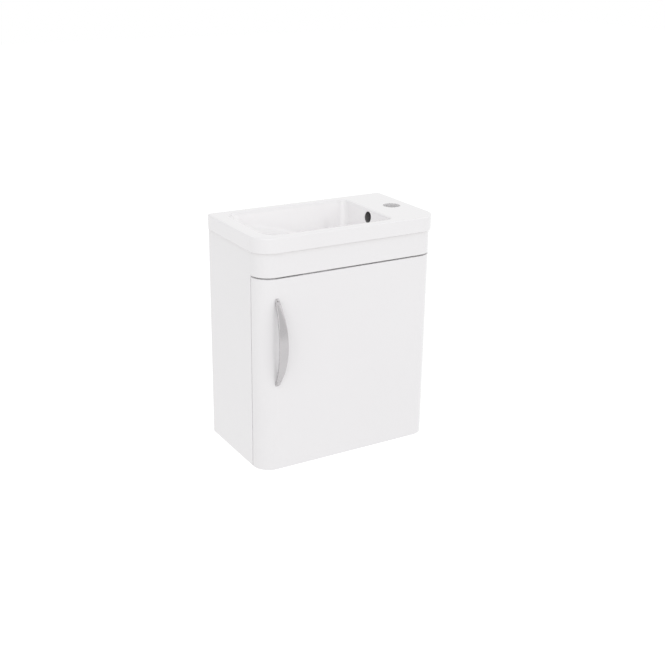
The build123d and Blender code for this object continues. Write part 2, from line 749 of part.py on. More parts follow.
with BuildPart() as handle_screws:
    screw_seats = [seat(handle_x, inside_front_y, z, (0, 1, 0)) for z in foot_z]
    with Locations(*screw_seats):
        Cylinder(
            handle_screw_head_radius, handle_screw_head_height, align=(Align.CENTER, Align.CENTER, Align.MIN))
        Cylinder(
            handle_screw_radius, front_board + handle_screw_bite,
            align=(Align.CENTER, Align.CENTER, Align.MAX))
    fillet(handle_screws.faces().group_by(Axis.Y)[-1].edges(), handle_screw_head_round)
    with Locations(*[p.offset(handle_screw_head_height) for p in screw_seats]):
        Box(recess_length, recess_width, 2 * recess_depth, mode=Mode.SUBTRACT)
        Box(recess_width, recess_length, 2 * recess_depth, mode=Mode.SUBTRACT)
handle_screws.part.label = "handle_screws"
export_step(handle_screws.part, "parts/handle_screws.step")

# Magnetic catch under the front rail, and its steel plate on the inside of the door
with BuildPart() as catch_housing:
    with BuildSketch(Plane.XY.offset(catch_low_z)) as foot:
        with Locations((catch_x, catch_mid_y)):
            Rectangle(catch_length, catch_depth)
        fillet(foot.vertices().group_by(Axis.Y)[-1], catch_corner)
    extrude(amount=catch_height)
    with BuildSketch(Plane.XZ.offset(-housing_front_y)):
        with Locations((catch_x, catch_mid_z)):
            Rectangle(magnet_length + joint_clearance, magnet_height + 2 * pole_thickness + joint_clearance)
    extrude(amount=-(catch_depth - pole_thickness), mode=Mode.SUBTRACT)
    with Locations(*catch_screw_seats):
        Cylinder(
            sink_radius + screw_clearance, catch_height,
            align=(Align.CENTER, Align.CENTER, Align.MIN), mode=Mode.SUBTRACT)
        CounterSinkHole(pilot_radius, sink_radius, depth=catch_ear, counter_sink_angle=90)
catch_housing.part.label = "catch_housing"
export_step(catch_housing.part, "parts/catch_housing.step")

with BuildPart() as catch_magnet:
    with Locations((catch_x, housing_front_y + (catch_depth - pole_thickness) / 2, catch_mid_z)):
        Box(magnet_length - pole_thickness, catch_depth - 2 * pole_thickness, magnet_height)
catch_magnet.part.label = "catch_magnet"
export_step(catch_magnet.part, "parts/catch_magnet.step")

with BuildPart() as catch_poles:
    pole_depth = catch_depth - pole_thickness + pole_stand_out
    with Locations(*[
        (catch_x, pole_face_y + pole_depth / 2, catch_mid_z + side * (magnet_height + pole_thickness) / 2)
        for side in sides
    ]):
        Box(magnet_length, pole_depth, pole_thickness)
catch_poles.part.label = "catch_poles"
export_step(catch_poles.part, "parts/catch_poles.step")

catch_screw = countersunk_screw(catch_screw_length)
with BuildPart() as catch_screws:
    with Locations(*catch_screw_seats):
        add(catch_screw)
catch_screws.part.label = "catch_screws"
export_step(catch_screws.part, "parts/catch_screws.step")

strike_top_z = door_top - strike_from_top
strike_mid_z = strike_top_z - strike_height / 2
strike_screw_seats = [
    seat(catch_x + side * strike_screw_pitch / 2, strike_face_y, strike_mid_z, (0, 1, 0)) for side in sides
]
with BuildPart() as strike_plate:
    with BuildSketch(Plane.XZ.offset(-inside_front_y)):
        with Locations((catch_x, strike_mid_z)):
            RectangleRounded(strike_length, strike_height, strike_height / 3)
    extrude(amount=-strike_thickness)
    with Locations(*strike_screw_seats):
        CounterSinkHole(pilot_radius, sink_radius, depth=strike_thickness, counter_sink_angle=90)
strike_plate.part.label = "strike_plate"
export_step(strike_plate.part, "parts/strike_plate.step")

with BuildPart() as strike_screws:
    with Locations(*strike_screw_seats):
        add(catch_screw)
strike_screws.part.label = "strike_screws"
export_step(strike_screws.part, "parts/strike_screws.step")

# Soft buffers on the front edge of the left side, where the door's free end closes
with BuildPart() as door_buffers:
    for z in (buffer_from_end, door_top - buffer_from_end):
        with Locations(seat(-screw_line_x, carcass_front_y, z, (0, -1, 0))):
            Cylinder(buffer_radius, door_gap - catch_running, align=(Align.CENTER, Align.CENTER, Align.MIN))
    fillet(door_buffers.faces().group_by(Axis.Y)[0].edges(), buffer_round)
door_buffers.part.label = "door_buffers"
export_step(door_buffers.part, "parts/door_buffers.step")

# Door: one board with both ends bent back, drilled for its handle, hinges and strike plate
with BuildPart() as door_panel:
    with BuildSketch():
        add(wrapped_front(carcass_front_y))
        with Locations((0, door_back_y + corner_radius / 2)):
            Rectangle(basin_width, corner_radius, mode=Mode.SUBTRACT)
    extrude(amount=door_top)
    fillet(outer_loop(door_panel.faces().sort_by(Axis.Z)[0]), edge_ease)
    fillet(outer_loop(door_panel.faces().sort_by(Axis.Z)[-1]), edge_ease)
    with Locations(*[seat(handle_x, inside_front_y + spot_depth, z, (0, 1, 0)) for z in foot_z]):
        CounterBoreHole(
            handle_screw_radius + 2 * screw_clearance, handle_screw_head_radius + screw_clearance,
            spot_depth, depth=front_board + spot_depth)
    with Locations(*[p.offset(-leaf_thickness) for p in door_screw_seats]):
        Hole(pilot_radius, depth=screw_length)
    with Locations(*[(hinge_axis_x, hinge_axis_y, z) for z in hinge_heights.values()]):
        Cylinder(bead_radius, bead_height, mode=Mode.SUBTRACT)
    with Locations(*[p.offset(-strike_thickness) for p in strike_screw_seats]):
        Hole(pilot_radius, depth=catch_screw_length)
door_panel.part.label = "door_panel"
export_step(door_panel.part, "parts/door_panel.step")
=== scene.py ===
"""Finishes, studio and handle of a wall-hung cloakroom vanity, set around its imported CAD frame.

All sizes are in metres, in the frame of the CAD: X across the front, Y back to the wall, Z up.
"""
import json
import logging
import math
from collections.abc import Iterable, Mapping
from dataclasses import dataclass, field
from enum import Enum
from typing import Any, Protocol

import bmesh
import bpy
from mathutils import Matrix, Vector


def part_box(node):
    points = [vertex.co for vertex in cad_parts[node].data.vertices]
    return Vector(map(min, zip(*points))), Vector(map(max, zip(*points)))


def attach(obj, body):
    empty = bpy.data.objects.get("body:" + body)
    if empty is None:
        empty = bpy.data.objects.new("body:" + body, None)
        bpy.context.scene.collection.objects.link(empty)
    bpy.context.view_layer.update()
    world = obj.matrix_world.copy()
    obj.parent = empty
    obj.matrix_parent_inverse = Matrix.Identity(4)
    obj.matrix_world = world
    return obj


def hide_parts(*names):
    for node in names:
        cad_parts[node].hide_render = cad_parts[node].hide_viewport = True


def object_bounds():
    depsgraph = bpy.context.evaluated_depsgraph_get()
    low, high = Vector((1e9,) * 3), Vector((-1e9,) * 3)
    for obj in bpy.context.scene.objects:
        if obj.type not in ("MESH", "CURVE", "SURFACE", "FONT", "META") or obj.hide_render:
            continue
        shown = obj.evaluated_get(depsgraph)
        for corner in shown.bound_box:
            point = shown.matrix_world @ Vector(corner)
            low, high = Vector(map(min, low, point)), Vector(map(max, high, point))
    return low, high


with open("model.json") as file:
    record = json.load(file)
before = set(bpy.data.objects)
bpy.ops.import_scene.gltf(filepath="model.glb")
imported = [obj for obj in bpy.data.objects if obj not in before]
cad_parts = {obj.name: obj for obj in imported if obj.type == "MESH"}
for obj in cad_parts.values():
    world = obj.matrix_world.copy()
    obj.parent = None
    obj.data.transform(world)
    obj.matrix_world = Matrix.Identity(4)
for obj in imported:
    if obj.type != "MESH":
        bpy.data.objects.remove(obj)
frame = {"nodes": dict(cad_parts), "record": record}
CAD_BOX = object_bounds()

log = logging.getLogger("vanity")

Colour = tuple[float, float, float]
Point = tuple[float, float, float]
Span = tuple[float, float]

NEAR = 1e-4
SMOOTH, FINE, FINER, FINEST = 0.0, 1.0, 2.0, 3.0
BISCUIT: Colour = (0.78, 0.745, 0.69)


class Way(Enum):
    """The ways that a board's bare or matt faces look."""

    BACK = (0.0, 1.0, 0.0)
    LEFT = (-1.0, 0.0, 0.0)
    RIGHT = (1.0, 0.0, 0.0)
    UP = (0.0, 0.0, 1.0)
    DOWN = (0.0, 0.0, -1.0)


def rgba(colour: Colour) -> tuple[float, float, float, float]:
    """Return a colour with full alpha."""
    return (*colour, 1.0)


def darker(colour: Colour, share: float) -> Colour:
    """Return a colour with each channel multiplied by a share."""
    return tuple(share * channel for channel in colour)


class Graph:
    """A node tree with short calls that add nodes and fill or link their sockets."""

    def __init__(self, tree: bpy.types.NodeTree) -> None:
        """Keep the tree that the calls work on."""
        self.tree = tree

    def add(
            self, kind: str, inputs: Mapping[str | int, Any] | None = None, **options: Any,
    ) -> bpy.types.Node:
        """Add one node.

        Args:
            kind: The node's type, such as ShaderNodeTexNoise.
            inputs: Values or output sockets, by the name or number of the input that takes them.
            options: The node's own settings, such as operation.

        Returns:
            The new node.
        """
        made = self.tree.nodes.new(kind)
        for name, value in options.items():
            setattr(made, name, value)
        for key, value in (inputs or {}).items():
            self.fill(made.inputs[key], value)
        return made

    def fill(self, socket: bpy.types.NodeSocket, value: Any) -> None:
        """Link a socket where the value is an output, and set it otherwise.

        Args:
            socket: The input to fill.
            value: A plain value or an output socket.
        """
        if isinstance(value, bpy.types.NodeSocket):
            self.tree.links.new(value, socket)
        else:
            socket.default_value = value

    def calc(self, operation: str, *values: Any) -> bpy.types.NodeSocket:
        """Return the result of one Math node.

        Args:
            operation: The operation's name, such as MULTIPLY.
            values: Numbers or sockets, in the order of the node's inputs.

        Returns:
            The node's output socket.
        """
        return self.add("ShaderNodeMath", dict(enumerate(values)), operation=operation).outputs[0]

    def blend(self, factor: Any, first: Any, second: Any) -> bpy.types.NodeSocket:
        """Return a colour between two others.

        Args:
            factor: Share of the second colour, from 0 to 1.
            first: A colour or a colour socket.
            second: A colour or a colour socket.

        Returns:
            The mixed colour's socket.
        """
        mixed = self.add("ShaderNodeMix", {0: factor, 6: first, 7: second}, data_type="RGBA")
        return mixed.outputs[2]

    def noise(self, vector: Any, scale: Any, detail: float) -> bpy.types.NodeSocket:
        """Return a noise value.

        Args:
            vector: The coordinates to read.
            scale: Features in each metre.
            detail: Octaves of finer noise.

        Returns:
            The noise factor's socket.
        """
        inputs = {"Vector": vector, "Scale": scale, "Detail": detail}
        return self.add("ShaderNodeTexNoise", inputs).outputs[0]

    def spread(self, value: Any, taken: Span, given: Span = (0.0, 1.0)) -> bpy.types.NodeSocket:
        """Return a value moved from one range to another.

        Args:
            value: The value to move.
            taken: The range that it comes from.
            given: The range that it goes to.

        Returns:
            The result's socket.
        """
        return self.add("ShaderNodeMapRange", dict(enumerate((value, *taken, *given)))).outputs[0]

    def where(self, mask: Any, plain: float, marked: float) -> bpy.types.NodeSocket:
        """Return a value that is plain where the mask is 0, and marked where it is 1."""
        return self.spread(mask, (0.0, 1.0), (plain, marked))


class Effects:
    """Surface effects that several finishes share, each built once as a node group."""

    DRIFT_SPAN: Span = (0.3, 0.7)
    DRIFT_SHARE = 0.6
    SPECK_SPAN: Span = (0.66, 0.72)
    FLAT_SPAN: Span = (0.97, 0.99)
    CHIP_STRETCH: Point = (1.0, 1.0, 0.55)
    CHIP_SHARE = 0.7
    FIBRE_SCALE = 1500.0
    CHIP_TONES: tuple[Colour, ...] = ((0.23, 0.145, 0.075), (0.45, 0.31, 0.17), (0.66, 0.5, 0.31))

    def __init__(self) -> None:
        """Build the groups."""
        self.ripple = self._ripple()
        self.mottle = self._mottle()
        self.facing = self._facing()
        self.chipboard = self._chipboard()
        self.drawn = self._drawn()

    @staticmethod
    def _group(
            name: str, inputs: Mapping[str, tuple[str, Any]], outputs: Mapping[str, str],
    ) -> tuple[Graph, bpy.types.NodeOutputs, bpy.types.NodeInputs]:
        """Start a node group.

        Args:
            name: The group's name.
            inputs: Socket kind and default value, by input name.
            outputs: Socket kind, by output name.

        Returns:
            The graph of the group, the sockets that give its inputs and those that take its outputs.
        """
        tree = bpy.data.node_groups.new(name, "ShaderNodeTree")
        for label, (kind, default) in inputs.items():
            socket = tree.interface.new_socket(label, in_out="INPUT", socket_type=kind)
            if default is not None:
                socket.default_value = default
        for label, kind in outputs.items():
            tree.interface.new_socket(label, in_out="OUTPUT", socket_type=kind)
        graph = Graph(tree)
        return graph, graph.add("NodeGroupInput").outputs, graph.add("NodeGroupOutput").inputs

    def _ripple(self) -> bpy.types.NodeTree:
        """Slow waves with a finer peel on them, as gloss coats and glazes dry.

        Returns:
            The node group.
        """
        graph, given, made = self._group(
            "coat_ripple",
            {"Vector": ("NodeSocketVector", None), "Wave Scale": ("NodeSocketFloat", 30.0),
             "Peel Scale": ("NodeSocketFloat", 600.0), "Peel Share": ("NodeSocketFloat", 0.3)},
            {"Height": "NodeSocketFloat"})
        wave = graph.noise(given["Vector"], given["Wave Scale"], FINE)
        peel = graph.noise(given["Vector"], given["Peel Scale"], FINER)
        wave_share = graph.calc("SUBTRACT", 1.0, given["Peel Share"])
        graph.fill(made["Height"], graph.calc(
            "ADD", graph.calc("MULTIPLY", wave, wave_share),
            graph.calc("MULTIPLY", peel, given["Peel Share"])))
        return graph.tree

    def _mottle(self) -> bpy.types.NodeTree:
        """Two colours that drift into each other, with a few small specks.

        Returns:
            The node group.
        """
        graph, given, made = self._group(
            "soft_mottle",
            {"Vector": ("NodeSocketVector", None), "Scale": ("NodeSocketFloat", 12.0),
             "Speck Scale": ("NodeSocketFloat", 900.0), "Speck Share": ("NodeSocketFloat", 0.1),
             "Light": ("NodeSocketColor", rgba((0.85, 0.85, 0.85))),
             "Dark": ("NodeSocketColor", rgba((0.8, 0.8, 0.8)))},
            {"Color": "NodeSocketColor", "Mask": "NodeSocketFloat"})
        drift = graph.spread(graph.noise(given["Vector"], given["Scale"], FINEST), self.DRIFT_SPAN)
        specks = graph.spread(
            graph.noise(given["Vector"], given["Speck Scale"], SMOOTH), self.SPECK_SPAN)
        mask = graph.calc(
            "MAXIMUM", graph.calc("MULTIPLY", drift, self.DRIFT_SHARE),
            graph.calc("MULTIPLY", specks, given["Speck Share"]))
        graph.fill(made["Color"], graph.blend(mask, given["Light"], given["Dark"]))
        graph.fill(made["Mask"], mask)
        return graph.tree

    def _facing(self) -> bpy.types.NodeTree:
        """A mask of the flat faces that look one way.

        Returns:
            The node group.
        """
        graph, given, made = self._group(
            "faces_that_look",
            {"Normal": ("NodeSocketVector", None), "Way": ("NodeSocketVector", Way.UP.value)},
            {"Mask": "NodeSocketFloat"})
        dot = graph.add(
            "ShaderNodeVectorMath", {0: given["Normal"], 1: given["Way"]},
            operation="DOT_PRODUCT").outputs["Value"]
        graph.fill(made["Mask"], graph.spread(dot, self.FLAT_SPAN))
        return graph.tree

    def _chipboard(self) -> bpy.types.NodeTree:
        """Pressed wood chips of mixed browns.

        Returns:
            The node group.
        """
        graph, given, made = self._group(
            "board_core",
            {"Vector": ("NodeSocketVector", None), "Chips": ("NodeSocketFloat", 420.0)},
            {"Color": "NodeSocketColor", "Height": "NodeSocketFloat"})
        lying = graph.add(
            "ShaderNodeMapping", {"Vector": given["Vector"], "Scale": self.CHIP_STRETCH}).outputs[0]
        cells = graph.add("ShaderNodeTexVoronoi", {"Vector": lying, "Scale": given["Chips"]})
        tone = graph.add("ShaderNodeSeparateColor", {0: cells.outputs["Color"]}).outputs[0]
        fibre = graph.noise(lying, self.FIBRE_SCALE, FINER)
        mixed = graph.calc(
            "ADD", graph.calc("MULTIPLY", tone, self.CHIP_SHARE),
            graph.calc("MULTIPLY", fibre, 1.0 - self.CHIP_SHARE))
        ramp = graph.add("ShaderNodeValToRGB", {0: mixed})
        low, middle, high = self.CHIP_TONES
        stops = ramp.color_ramp.elements
        stops[0].color, stops[1].color = rgba(low), rgba(high)
        stops.new(0.5).color = rgba(middle)
        graph.fill(made["Color"], ramp.outputs[0])
        graph.fill(made["Height"], mixed)
        return graph.tree

    def _drawn(self) -> bpy.types.NodeTree:
        """Fine lines left along one axis by rolling, drawing or polishing.

        Returns:
            The node group.
        """
        graph, given, made = self._group(
            "drawn_lines",
            {"Vector": ("NodeSocketVector", None), "Stretch": ("NodeSocketVector", (1.0, 1.0, 0.04)),
             "Scale": ("NodeSocketFloat", 2500.0)},
            {"Lines": "NodeSocketFloat"})
        along = graph.add(
            "ShaderNodeVectorMath", {0: given["Vector"], 1: given["Stretch"]},
            operation="MULTIPLY").outputs[0]
        graph.fill(made["Lines"], graph.noise(along, given["Scale"], FINER))
        return graph.tree


class Finish:
    """A material in the making: its graph, its coordinates and its surface shader."""

    def __init__(self, name: str, effects: Effects) -> None:
        """Start a material with an empty surface.

        Args:
            name: The material's name.
            effects: The shared node groups.
        """
        self.material = bpy.data.materials.new(name)
        self.material.use_nodes = True
        self.material.node_tree.nodes.clear()
        self.effects = effects
        self.graph = Graph(self.material.node_tree)
        self.place = self.graph.add("ShaderNodeTexCoord")
        self.surface = self.graph.add("ShaderNodeBsdfPrincipled")
        self.graph.add("ShaderNodeOutputMaterial", {"Surface": self.surface.outputs[0]})

    @property
    def at(self) -> bpy.types.NodeSocket:
        """The point on the object, in its own frame."""
        return self.place.outputs["Object"]

    def effect(self, group: bpy.types.NodeTree, **inputs: Any) -> bpy.types.NodeOutputs:
        """Place a shared effect, reading the object's own coordinates.

        Args:
            group: One of the shared groups.
            inputs: Values by input name, with underscores for spaces.

        Returns:
            The output sockets of the effect.
        """
        placed = self.graph.add("ShaderNodeGroup", node_tree=group)
        if "Vector" in placed.inputs:
            self.graph.fill(placed.inputs["Vector"], self.at)
        for name, value in inputs.items():
            self.graph.fill(placed.inputs[name.replace("_", " ")], value)
        return placed.outputs

    def looks(self, ways: Iterable[Way]) -> bpy.types.NodeSocket:
        """Return the mask of the flat faces that look some ways.

        Args:
            ways: The ways, at least one.

        Returns:
            A socket that is 1 on those faces and 0 elsewhere.
        """
        first, *others = [
            self.effect(self.effects.facing, Normal=self.place.outputs["Normal"], Way=way.value)["Mask"]
            for way in ways
        ]
        for other in others:
            first = self.graph.calc("MAXIMUM", first, other)
        return first

    def shade(self, **values: Any) -> None:
        """Set or link sockets of the surface shader.

        Args:
            values: Values or sockets by the input's name, with underscores for spaces.
        """
        for name, value in values.items():
            self.graph.fill(self.surface.inputs[name.replace("_", " ")], value)

    def bump(self, height: bpy.types.NodeSocket, depth: float) -> None:
        """Give the surface a relief.

        Args:
            height: The relief, from 0 to 1.
            depth: Its real depth in metres.
        """
        relief = self.graph.add(
            "ShaderNodeBump", {"Height": height, "Distance": depth, "Strength": 1.0})
        self.shade(Normal=relief.outputs[0])


@dataclass(frozen=True)
class Mottle:
    """Two near colours that drift into each other, and the specks among them."""

    light: Colour
    dark: Colour
    scale: float = 12.0
    speck_scale: float = 900.0
    speck_share: float = 0.1

    def lay(self, finish: Finish) -> bpy.types.NodeOutputs:
        """Lay the colours on a material.

        Args:
            finish: The material in the making.

        Returns:
            The sockets of the colour and of its mask.
        """
        return finish.effect(
            finish.effects.mottle, Scale=self.scale, Speck_Scale=self.speck_scale,
            Speck_Share=self.speck_share, Light=rgba(self.light), Dark=rgba(self.dark))


@dataclass(frozen=True)
class Ripple:
    """The slow waves and the fine peel that a coat dries with."""

    wave_scale: float
    peel_scale: float
    peel_share: float
    depth: float

    def lay(self, finish: Finish) -> None:
        """Give a material the coat's relief.

        Args:
            finish: The material in the making.
        """
        made = finish.effect(
            finish.effects.ripple, Wave_Scale=self.wave_scale, Peel_Scale=self.peel_scale,
            Peel_Share=self.peel_share)
        finish.bump(made["Height"], self.depth)


@dataclass(frozen=True)
class Patch:
    """A box in a piece's frame that takes another finish, with a soft edge inside it."""

    low: Point
    high: Point
    soft: float
    lean: float = 0.0

    def mask(self, finish: Finish) -> bpy.types.NodeSocket:
        """Return the mask of the box, whose sides lean to the left on their way down.

        Args:
            finish: The material in the making.

        Returns:
            A socket that is 1 in the box and 0 outside.
        """
        graph = finish.graph
        across, back, up = graph.add("ShaderNodeSeparateXYZ", {0: finish.at}).outputs
        fall = graph.calc("SUBTRACT", self.high[2], up)
        across = graph.calc("ADD", across, graph.calc("MULTIPLY", fall, self.lean))
        limits = [
            graph.spread(place, (edge, edge + inward))
            for place, low, high in zip((across, back, up), self.low, self.high)
            for edge, inward in ((low, self.soft), (high, -self.soft))
        ]
        mask = limits[0]
        for limit in limits[1:]:
            mask = graph.calc("MULTIPLY", mask, limit)
        return mask


class Recipe(Protocol):
    """Anything that can build a material under a name."""

    def make(self, name: str, effects: Effects) -> bpy.types.Material:
        """Build the material."""


MELAMINE = Mottle((0.83, 0.822, 0.818), (0.8, 0.792, 0.785), 9.0, 1400.0, 0.25)


@dataclass(frozen=True)
class GlossBoard:
    """White lacquered board, matt on its inner face and bare where it meets the wall."""

    lacquer: Mottle = Mottle((0.868, 0.856, 0.866), (0.853, 0.841, 0.852), 6.0, speck_share=0.04)
    ripple: Ripple = Ripple(28.0, 420.0, 0.25, 0.000012)
    bare_ways: tuple[Way, ...] = ()
    matt_ways: tuple[Way, ...] = ()
    gloss: float = 0.13
    matt: float = 0.42
    raw: float = 0.85
    coat: float = 0.5
    coat_roughness: float = 0.05
    ior: float = 1.48

    def make(self, name: str, effects: Effects) -> bpy.types.Material:
        """Build the material.

        Args:
            name: The material's name.
            effects: The shared node groups.

        Returns:
            The material.
        """
        finish = Finish(name, effects)
        lacquer = self.lacquer.lay(finish)["Color"]
        finish.shade(
            Base_Color=lacquer, Roughness=self.gloss, IOR=self.ior, Coat_Weight=self.coat,
            Coat_Roughness=self.coat_roughness)
        self.ripple.lay(finish)
        if self.bare_ways and self.matt_ways:
            self._uncover(finish, lacquer)
        return finish.material

    def _uncover(self, finish: Finish, lacquer: bpy.types.NodeSocket) -> None:
        """Show melamine on the matt faces and chips on the bare ones.

        Args:
            finish: The material in the making.
            lacquer: The colour of the gloss faces.
        """
        graph = finish.graph
        matt, bare = finish.looks(self.matt_ways), finish.looks(self.bare_ways)
        chips = finish.effect(finish.effects.chipboard)["Color"]
        covered = graph.blend(matt, lacquer, MELAMINE.lay(finish)["Color"])
        finish.shade(
            Base_Color=graph.blend(bare, covered, chips),
            Roughness=graph.calc(
                "MAXIMUM", graph.where(matt, self.gloss, self.matt), graph.calc("MULTIPLY", bare, self.raw)),
            Coat_Weight=graph.where(graph.calc("MAXIMUM", matt, bare), self.coat, 0.0))


@dataclass(frozen=True)
class InnerBoard:
    """White melamine over chipboard, with a fine dead-matt pore and bare sawn edges."""

    bare_ways: tuple[Way, ...] = (Way.UP, Way.DOWN)
    matt: float = 0.42
    raw: float = 0.88
    pore_scale: float = 1800.0
    pore_share: float = 0.35
    pore_depth: float = 0.00003

    def make(self, name: str, effects: Effects) -> bpy.types.Material:
        """Build the material.

        Args:
            name: The material's name.
            effects: The shared node groups.

        Returns:
            The material.
        """
        finish = Finish(name, effects)
        graph = finish.graph
        bare = finish.looks(self.bare_ways)
        chips = finish.effect(effects.chipboard)
        finish.shade(
            Base_Color=graph.blend(bare, MELAMINE.lay(finish)["Color"], chips["Color"]),
            Roughness=graph.where(bare, self.matt, self.raw))
        pores = graph.noise(finish.at, self.pore_scale, FINER)
        finish.bump(graph.calc(
            "ADD", graph.calc("MULTIPLY", pores, self.pore_share),
            graph.calc("MULTIPLY", chips["Height"], bare)), self.pore_depth)
        return finish.material


@dataclass(frozen=True)
class Glaze:
    """Glazed white ceramic with a whiter colour in the bowl as painted light, fired bare on its foot, and a
    dark colour in the overflow duct as painted shade.
    """

    body: Mottle = Mottle((0.874, 0.861, 0.871), (0.862, 0.85, 0.861), 14.0, 700.0, 0.06)
    grit: Mottle = Mottle(BISCUIT, darker(BISCUIT, 0.86), 90.0, 1600.0, 0.9)
    # Painted light: a whiter colour laid over the bowl to brighten its walls
    painted_bowl_light: Colour = (0.915, 0.903, 0.911)
    # Painted shade: a dark colour laid in the overflow duct where there is only shade
    painted_duct_shade: Colour = (0.16, 0.157, 0.158)
    ripple: Ripple = Ripple(18.0, 240.0, 0.08, 0.00009)
    bowl: Patch = Patch((-0.177, -0.210, 0.34), (0.109, -0.014, 0.4685), 0.006)
    duct: Patch = Patch((0.1028, -0.1280, 0.40), (0.1296, -0.1020, 0.4656), 0.0008, 0.127)
    foot_height: float = 0.0005
    gloss: float = 0.07
    raw: float = 0.8
    coat: float = 0.7
    coat_roughness: float = 0.03
    ior: float = 1.5

    def make(self, name: str, effects: Effects) -> bpy.types.Material:
        """Build the material.

        Args:
            name: The material's name.
            effects: The shared node groups.

        Returns:
            The material.
        """
        finish = Finish(name, effects)
        graph = finish.graph
        height = graph.add("ShaderNodeSeparateXYZ", {0: finish.at}).outputs["Z"]
        foot_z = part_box("fascia_panel")[1].z
        foot = graph.spread(height, (foot_z + self.foot_height, foot_z))
        bare = graph.calc("MULTIPLY", foot, finish.looks((Way.DOWN,)))
        duct = self.duct.mask(finish)
        rough = graph.calc("MAXIMUM", bare, duct)
        # Painted light: inside the bowl patch the glaze is whiter, standing in for light on the bowl's walls
        white = graph.blend(self.bowl.mask(finish), self.body.lay(finish)["Color"], rgba(self.painted_bowl_light))
        fired = graph.blend(bare, white, self.grit.lay(finish)["Color"])
        # Painted shade: the overflow duct is coloured dark to stand in for the shade inside the hole
        finish.shade(
            Base_Color=graph.blend(duct, fired, rgba(self.painted_duct_shade)), IOR=self.ior,
            Roughness=graph.where(rough, self.gloss, self.raw),
            Coat_Weight=graph.where(rough, self.coat, 0.0), Coat_Roughness=self.coat_roughness)
        self.ripple.lay(finish)
        return finish.material


@dataclass(frozen=True)
class Plating:
    """A plated or cast metal with drawn lines, a slight bloom and its own grain."""

    colour: Colour
    bloom: Colour
    roughness: float
    bloom_scale: float = 60.0
    speck_scale: float = 2400.0
    speck_share: float = 0.15
    stretch: Point = (1.0, 1.0, 0.05)
    line_scale: float = 2200.0
    line_depth: float = 0.000004
    polish: Span = (0.75, 1.3)
    wear_span: Span = (0.2, 1.2)

    def make(self, name: str, effects: Effects) -> bpy.types.Material:
        """Build the material.

        Args:
            name: The material's name.
            effects: The shared node groups.

        Returns:
            The material.
        """
        finish = Finish(name, effects)
        metal = Mottle(
            self.colour, self.bloom, self.bloom_scale, self.speck_scale, self.speck_share).lay(finish)
        lines = finish.effect(effects.drawn, Stretch=self.stretch, Scale=self.line_scale)["Lines"]
        worn = finish.graph.calc("ADD", lines, metal["Mask"])
        bright, dull = self.polish
        finish.shade(
            Base_Color=metal["Color"], Metallic=1.0, Roughness=finish.graph.spread(
                worn, self.wear_span, (self.roughness * bright, self.roughness * dull)))
        finish.bump(lines, self.line_depth)
        return finish.material


@dataclass(frozen=True)
class Beech:
    """Turned beech with pressed flutes along the dowel."""

    early: Colour = (0.62, 0.43, 0.25)
    late: Colour = (0.5, 0.33, 0.18)
    fleck: Colour = (0.36, 0.21, 0.11)
    grain_stretch: Point = (0.08, 1.0, 1.0)
    grain_scale: float = 900.0
    fleck_stretch: Point = (0.25, 1.0, 1.0)
    fleck_scale: float = 2600.0
    fleck_span: Span = (0.6, 0.7)
    flute_depth: float = 0.0001
    roughness: float = 0.6

    def make(self, name: str, effects: Effects) -> bpy.types.Material:
        """Build the material.

        Args:
            name: The material's name.
            effects: The shared node groups.

        Returns:
            The material.
        """
        finish = Finish(name, effects)
        graph = finish.graph
        grain = finish.effect(effects.drawn, Stretch=self.grain_stretch, Scale=self.grain_scale)["Lines"]
        flecks = finish.effect(effects.drawn, Stretch=self.fleck_stretch, Scale=self.fleck_scale)["Lines"]
        wood = graph.blend(grain, rgba(self.early), rgba(self.late))
        marks = graph.spread(flecks, self.fleck_span)
        finish.shade(Base_Color=graph.blend(marks, wood, rgba(self.fleck)), Roughness=self.roughness)
        finish.bump(flecks, self.flute_depth)
        return finish.material


@dataclass(frozen=True)
class Moulding:
    """A moulded plastic, rubber or sintered surface with a fine eroded grain."""

    colour: Colour
    shaded: Colour
    roughness: float
    clear: float = 0.0
    drift_scale: float = 40.0
    speck_scale: float = 1900.0
    speck_share: float = 0.3
    grain_scale: float = 1700.0
    grain_depth: float = 0.00002
    grain_span: Span = (0.3, 0.7)
    polish: Span = (0.85, 1.15)

    def make(self, name: str, effects: Effects) -> bpy.types.Material:
        """Build the material.

        Args:
            name: The material's name.
            effects: The shared node groups.

        Returns:
            The material.
        """
        finish = Finish(name, effects)
        body = Mottle(
            self.colour, self.shaded, self.drift_scale, self.speck_scale, self.speck_share).lay(finish)
        grain = finish.graph.noise(finish.at, self.grain_scale, FINER)
        smooth, rough = self.polish
        finish.shade(
            Base_Color=body["Color"], Transmission_Weight=self.clear, Roughness=finish.graph.spread(
                grain, self.grain_span, (self.roughness * smooth, self.roughness * rough)))
        finish.bump(grain, self.grain_depth)
        return finish.material


